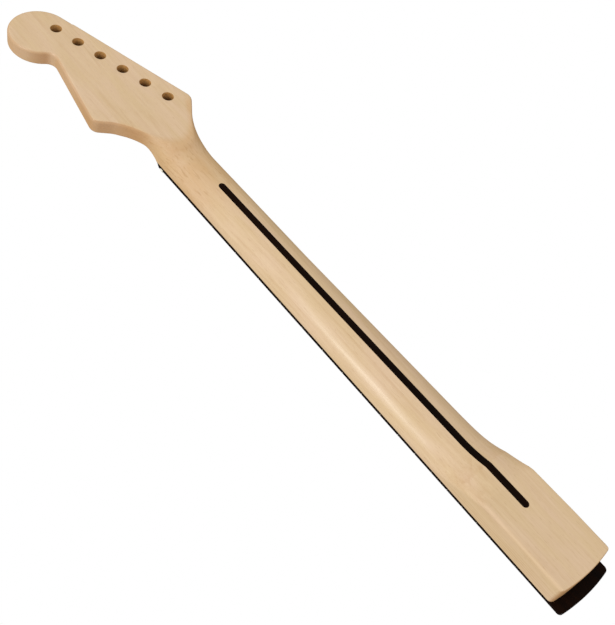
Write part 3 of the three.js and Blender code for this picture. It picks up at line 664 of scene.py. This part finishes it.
def ramp_height(s):
    """The headstock's face, then the ramp's curve up to the height of the board."""
    on = np.clip(np.asarray(s, float) - RAMP_FOOT, 0, RAMP_RUN)
    return HEAD_THICK + RAMP - np.sqrt(RAMP**2 - on**2)


def top_height(s, y):
    """The height of the shaft's face, with the board's glue line as its highest."""
    return np.minimum(ramp_height(s), GLUE)


# The roundings at each point of the neck's outline, which fade out along it
butt = fade(-inward(NECK)[:, 0], 0.35, 0.75) * (along > 400)
bass = aside < 0
head_round = np.where(bass, ROUND_BASS_HEAD, ROUND_TREBLE)
heel_round = np.where(bass, ROUND_BASS_HEEL + ROUND_BASS_GAIN * fade(along, 425, 460), ROUND_TREBLE)
heel_round *= 1 - BUTT_LOSS * butt
low_round = head_round * fade(along, 2, -28) + heel_round * fade(along, 350, 386)
high_round = ROUND_FACE * fade(along, -13, -25)
low_width = np.maximum(BAND_HEAD + BAND_GAIN * fade(along, -45, -20), low_round)

# The tuner holes, the key's trough behind the nut and the stripe's slot in the back
circle = np.linspace(0, 2 * math.pi, 65)[:-1]
ring = np.column_stack([np.cos(circle), np.sin(circle)])
hole_centres = [(FIRST_HOLE[0] - HOLE_PITCH * k * math.cos(HOLE_LINE),
                 FIRST_HOLE[1] + HOLE_PITCH * k * math.sin(HOLE_LINE)) for k in range(HOLES)]
holes = [Hole(np.array(c) + HOLE_RADIUS * ring, "both", HOLE_RIM, 0) for c in hole_centres]
trough_corners = [(TROUGH_START, -TROUGH_HALF, TROUGH_HALF), (TROUGH_END, -TROUGH_HALF, 0),
                  (TROUGH_END, TROUGH_HALF, 0), (TROUGH_START, TROUGH_HALF, TROUGH_HALF)]
holes.append(Hole(refined(rounded(trough_corners, 6), 0.9), "high", TROUGH_RIM, TROUGH_FLOOR))
stripe_slot = stripe_outline(0)
holes.append(Hole(stripe_slot, "low", 0.02, back_height(*stripe_slot.T) + SLOT_DEPTH))

# The shaft, with mesh points on lines across it, closer together where the back bends
RUNS = ((-42, 24, 1.2), (24, 44, 2.5), (44, 322, 5.0), (322, 394, 1.8), (394, 464, 8.0))
stations = np.concatenate([[HEEL_FLAT], *(np.arange(*run) for run in RUNS)])
spread = np.sin(np.linspace(-1, 1, 27)[1:-1] * math.pi / 2)
inner = [(s, t * (np.interp(s, *sides[1 if t > 0 else -1]) - SIDE_INSET))
         for s in stations for t in spread]
grid = [(s, y) for s in np.arange(-200, -41, 6.0) for y in np.arange(-54, 60, 6.0)]
slope = [(s, y) for s in np.arange(-27, -7, 0.8) for y in np.arange(-22.5, 23, 3.0)]
shaft = plate(NECK, back_height, top_height, (low_width, BAND_FACE), r_low=low_round, r_high=high_round,
              holes=holes, inner_low=inner + grid, inner_high=slope + grid)
shaft_piece = piece("neck_shaft_wood", shaft, MAPLE, ["neck_shaft"])
shaft_piece.data.materials.append(BORE)
axes = np.array(hole_centres) - [ORIGIN, 0]
for face in shaft_piece.data.polygons:
    away = np.hypot(*(axes - np.array(face.center[:2]) * 1000).T)
    if abs(face.normal.z) < 0.3 and np.min(away) < HOLE_RADIUS + 0.15:
        face.material_index = 1

# The stripe, flush with the back in its slot
places = [HEEL_FLAT, *np.arange(STRIPE_START + 2, STRIPE_END - 1, 2.5)]
rows = [(s, y) for s in places for y in (-2.1, -1.05, 0, 1.05, 2.1)]
stripe = plate(stripe_outline(STRIPE_GAP), back_height, lambda s, y: back_height(s, y) + STRIPE_DEPTH,
               width=0.15, r_low=0.05, inner_low=rows, band=SHORT_BAND)
piece("filler_stripe_wood", stripe, DARK, ["filler_stripe"])

# The fingerboard: the main board, the shelf under the nut and the ramp behind it
nut_half, back_half = float(half_width(0)), float(half_width(-NUT_THICK))
board_corners = [*end_corners(BOARD_END, TONGUE_CURVE, TONGUE_CORNER),
                 (0, nut_half, 0), (0, -nut_half, 0)]
board_loop = refined(rounded(board_corners), 6.0)
board_points = [(s, t * half_width(s) * 0.97)
                for s in np.arange(4, BOARD_END - 2, 9.0) for t in np.linspace(-1, 1, 17)]
free_end = TONGUE_ROUND * fade(board_loop[:, 0], HEEL_END - 2, HEEL_END + 1)
board = plate(board_loop, flat(GLUE), crowned(0), width=0.5, r_low=free_end, r_high=BOARD_ROUND,
              inner_high=board_points)
shelf_loop = [(-NUT_THICK, -back_half), (0, -nut_half), (0, nut_half), (-NUT_THICK, back_half)]
shelf = plate(refined(shelf_loop, 3.0), flat(GLUE), flat(GLUE + NUT_SEAT), width=0.1, band=SHORT_BAND)
tip = RAMP_GLUE + 0.1
tip_half = float(half_width(tip))
wedge_loop = refined([
    (tip, -tip_half), (-NUT_THICK, -back_half), (-NUT_THICK, back_half), (tip, tip_half),
    (tip, TROUGH_HALF), (TROUGH_END, TROUGH_HALF), (TROUGH_END, -TROUGH_HALF), (tip, -TROUGH_HALF),
], 0.8)
wedge_points = [(s, y) for s in np.arange(tip + 0.7, -3.6, 0.7) for y in np.arange(-20, 20.5, 2.0)]
wedge = plate(wedge_loop, flat(GLUE - WEDGE_SINK), lambda s, y: np.minimum(ramp_height(s), crown(y)),
              width=0.12, r_high=0.05, inner_high=wedge_points, band=SHORT_BAND)
piece("fingerboard_wood", joined(board, shelf, wedge), DARK, ["fingerboard"])


def make_fret(n):
    """A low dome along the crown, with bevelled ends, and the tang through the board."""
    s = fret_at(n)
    half = float(half_width(s)) - FRET_INSET
    around = np.linspace(0, math.pi, 13)
    profile = [(FRET_HALF * math.cos(t), FRET_HEIGHT * math.sin(t) ** FRET_FULLNESS) for t in around]
    profile += [(-FRET_HALF, -FRET_SINK), (FRET_HALF, -FRET_SINK)]
    rings = []
    for t in np.concatenate([[-1, -0.997, -0.99], np.linspace(-0.98, 0.98, 31), [0.99, 0.997, 1]]):
        shrink = 1 - TIP_SHRINK * max(0, 1 - (1 - abs(t)) / FRET_TIP) ** 2
        loop = []
        for x, h in profile:
            reach = half - max(h, 0) * math.tan(FRET_BEVEL)
            a = math.asin(reach / CROWN) * t
            r = CROWN + (h * shrink if h > 0 else h)
            loop.append((s + x * shrink, r * math.sin(a), HEEL_THICK - CROWN + r * math.cos(a)))
        rings.append(loop)
    full = float(half_width(s)) + TANG_PROUD
    tang = []
    for y in np.linspace(-full, full, 25):
        top = float(crown(y)) - TANG_SINK
        foot = top - TANG_DEPTH
        tang.append([(s - TANG_HALF, y, top), (s + TANG_HALF, y, top),
                     (s + TANG_HALF, y, foot), (s - TANG_HALF, y, foot)])
    return joined(lofted(rings), lofted(tang))


for n in range(1, FRETS + 1):
    piece(f"fret_wire_{n:02d}", make_fret(n), NICKEL, [f"fret_{n:02d}"])


def make_nut():
    """The nut, swept across with its string grooves, with sections close together at their edges."""
    strings = [STRING_SPREAD * (k / (STRINGS - 1) - 0.5) for k in range(STRINGS)]
    ys = list(np.linspace(-nut_half, nut_half, 64))
    for d in (0.05, 0.12, 0.25, 0.4, 0.6):
        ys += [-nut_half + d, nut_half - d]
    for c in strings:
        ys.append(c)
        for t in (0.25, 0.5, 0.75, 0.9, 0.98, 1.02, 1.25):
            ys += [c - GROOVE_RADIUS * t, c + GROOVE_RADIUS * t]
    rings = []
    for y in sorted(ys):
        cuts = [GROOVE_DEPTH * math.sqrt(1 - ((y - c) / GROOVE_RADIUS) ** 2)
                for c in strings if abs(y - c) < GROOVE_RADIUS]
        top = float(crown(y)) + NUT_RISE - max([0] + cuts)
        top -= float(quarter(nut_half - abs(y), NUT_END_ROUND))
        loop = [(0, y, GLUE + NUT_SEAT), (0, y, top - 0.5)]
        for t in np.linspace(0, 1, 9):
            x = -NUT_THICK * t
            fall = NUT_FALL * t**2 + float(quarter(min(-x, NUT_THICK + x), NUT_EDGE_ROUND))
            loop.append((x, y, top - fall))
        loop += [(-NUT_THICK, y, top - 1.0), (-NUT_THICK, y, GLUE + NUT_SEAT)]
        rings.append(loop)
    return lofted(rings)


piece("nut_bone", make_nut(), BONE, ["nut"])


# Dots in the face and in the bass edge
def dot_places(spacing, in_line):
    """Tags and places of the dots, halfway between frets, with the pair in line or side by side."""
    for n in DOTS:
        s = (fret_at(n - 1) + fret_at(n)) / 2
        if n != PAIR_DOT:
            yield f"{n:02d}", s, 0.0
            continue
        for tag, way in ((f"{n}_a", -1), (f"{n}_b", 1)):
            off = way * spacing / 2
            yield tag, s + (off if in_line else 0), 0.0 if in_line else off


disc = np.linspace(0, 2 * math.pi, 49)[:-1]
for tag, s, y in dot_places(PAIR_ACROSS, False):
    loop = np.column_stack([s + DOT_RADIUS * np.cos(disc), y + DOT_RADIUS * np.sin(disc)])
    core = [(s + r * math.cos(a), y + r * math.sin(a))
            for r in (1.0, 2.0) for a in np.linspace(0, 5.5, 8)]
    dot = plate(loop, crowned(-DOT_DEPTH), crowned(DOT_RISE), width=0.1, r_high=0.06, inner_high=core,
                band=SHORT_BAND)
    piece(f"face_inlay_{tag}", dot, PEARL, [f"face_dot_{tag}"])
for tag, s, _ in dot_places(PAIR_ALONG, True):
    half = float(half_width(s))
    z = (GLUE + float(crown(half))) / 2
    rings = [[(s + r * math.cos(a), y - half, z + r * math.sin(a)) for a in disc[::2]]
             for y, r in ((SIDE_DEPTH, SIDE_RADIUS), (0.06, SIDE_RADIUS), (-0.01, SIDE_RADIUS - 0.02),
                          (-0.03, SIDE_RADIUS - 0.1), (-0.04, SIDE_RADIUS / 3))]
    piece(f"side_inlay_{tag}", lofted(rings), PEARL, [f"side_dot_{tag}"])


# The rod's adjuster and its washer, turned on the rod's axis
def on_rod(shell, start):
    """The shell with its heights turned to run along the neck from start."""
    co, faces = shell
    co = np.asarray(co, float)
    return np.column_stack([start + co[:, 2], co[:, 0], ROD_HEIGHT + co[:, 1]]), faces


corners = np.linspace(0, 2 * math.pi, 7)[:-1] + math.pi / 6
socket = refined(rounded([(SOCKET_CORNER * math.cos(a), SOCKET_CORNER * math.sin(a), 0.15)
                          for a in corners], 20), 0.5)
washer_start = TROUGH_END - ROD_GAP - WASHER_THICK
adjuster_start = washer_start - ROD_GAP - ADJUSTER_LENGTH
adjuster = plate(ring * ADJUSTER_RADIUS, flat(0), flat(ADJUSTER_LENGTH), width=0.9, r_low=ADJUSTER_ROUND,
                 r_high=ADJUSTER_ROUND, holes=[Hole(socket, "low", 0.2, SOCKET_DEPTH)])
piece("rod_adjuster_nut", on_rod(adjuster, adjuster_start), BRASS, ["rod_adjuster"],
      "adjuster")
washer = plate(ring * WASHER_RADIUS, flat(0), flat(WASHER_THICK), width=0.3, r_low=WASHER_ROUND,
               r_high=WASHER_ROUND, holes=[Hole(ring * WASHER_HOLE, "both", 0.1, 0)], band=SHORT_BAND)
piece("rod_washer_ring", on_rod(washer, washer_start), STEEL, ["rod_washer"])
for name in ("truss_rod", "rod_anchor"):
    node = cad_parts[name]
    node.data.materials.clear()
    node.data.materials.append(STEEL)

# Floor: fades out with distance, and is hidden from below so that the back can be seen and lit
floor_mesh = bpy.data.meshes.new("floor")
square = [(-1, -1), (1, -1), (1, 1), (-1, 1)]
floor_mesh.from_pydata([(x * FLOOR_HALF, y * FLOOR_HALF, -FLOOR_BELOW) for x, y in square], [],
                       [(0, 1, 2, 3)])
floor = in_scene("floor", floor_mesh)
pale = Look("floor_pale")
pale.set(Base_Color=(0.93, 0.93, 0.93, 1), Roughness=0.9, Specular_IOR_Level=0.1)
above = pale.math("SUBTRACT", 1.0, pale.node("ShaderNodeNewGeometry").outputs["Backfacing"])
seen = pale.node("ShaderNodeLightPath").outputs["Is Camera Ray"]
distance = pale.node("ShaderNodeVectorMath", {0: pale.where, 1: FLOOR_MIDDLE},
                     operation="DISTANCE").outputs["Value"]
shown = pale.times(above, seen, pale.ramp(distance, FLOOR_FADE_END, FLOOR_FADE_START))
clear = pale.node("ShaderNodeBsdfTransparent").outputs[0]
mixed = pale.node("ShaderNodeMixShader", {0: shown, 1: clear, 2: pale.bsdf.outputs[0]}).outputs[0]
pale.put(pale.tree.nodes["Material Output"].inputs[0], mixed)
floor_mesh.materials.append(pale.material)

# World: white where the camera and reflections look, and as a light dimmer away from treble and below
world = bpy.data.worlds.new("studio")
bpy.context.scene.world = world
world.use_nodes = True
sky = Graph(world.node_tree)
rays = sky.node("ShaderNodeLightPath").outputs
looked_at = sky.larger(rays["Is Camera Ray"], rays["Is Glossy Ray"])
looked_at = sky.larger(looked_at, rays["Is Transmission Ray"])
direction = sky.node("ShaderNodeTexCoord").outputs["Generated"]
soft = AMBIENT
for way, share in (((0, 1, 0), FROM_TREBLE), ((0, 0, -1), FROM_BELOW)):
    facing = sky.node("ShaderNodeVectorMath", {0: direction, 1: way}, operation="DOT_PRODUCT")
    soft = sky.math("MULTIPLY_ADD", sky.larger(facing.outputs["Value"], 0.0), share, soft)
level = sky.node("ShaderNodeMix", {"Factor": looked_at, "A": soft, "B": 1.0})
background = sky.tree.nodes["Background"]
sky.put(background.inputs["Color"], (1, 1, 1, 1))
sky.put(background.inputs["Strength"], level.outputs["Result"])

# Lamps: the first makes the sheen along the treble side of the back, the others light the top
middle = Vector((-0.25, 0, 0.01))
for name, aim, way, size, power in (
    ("below_key", Vector((-0.18, 0.0175, 0.009)), (-0.258, 0.695, -0.671), 1.1, 22),
    ("above_key", middle, (-0.3, -0.5, 0.81), 1.4, 36),
    ("above_fill", middle, (0.5, -0.3, 0.75), 2.5, 10),
):
    data = bpy.data.lights.new(name, "AREA")
    data.shape, data.size, data.energy = "DISK", size, power
    lamp = in_scene(name, data)
    lamp.location = aim + Vector(way).normalized() * LAMP_AWAY
    lamp.rotation_mode = "QUATERNION"
    lamp.rotation_quaternion = (aim - lamp.location).to_track_quat("-Z", "Y")
    lamp.visible_camera = False

# Camera at the photograph's view, from below and the treble side
camera = in_scene("camera", bpy.data.cameras.new("camera"))
camera.data.sensor_width, camera.data.lens = 36, 57.96
camera.data.clip_start, camera.data.clip_end = 0.01, 20
target = Vector((-0.24250, 0.01924, 0.0100))
back = Vector((0.33090, 0.52126, -0.78663)).normalized()
right = Vector((0.64032, -0.73636, -0.21859)).normalized()
up = back.cross(right).normalized()
camera.rotation_mode = "QUATERNION"
camera.rotation_quaternion = Matrix((right, up, back)).transposed().to_quaternion()
camera.location = target + back * CAMERA_AWAY
bpy.context.scene.camera = camera
bpy.context.scene.view_settings.view_transform = "Standard"

bpy.context.view_layer.update()
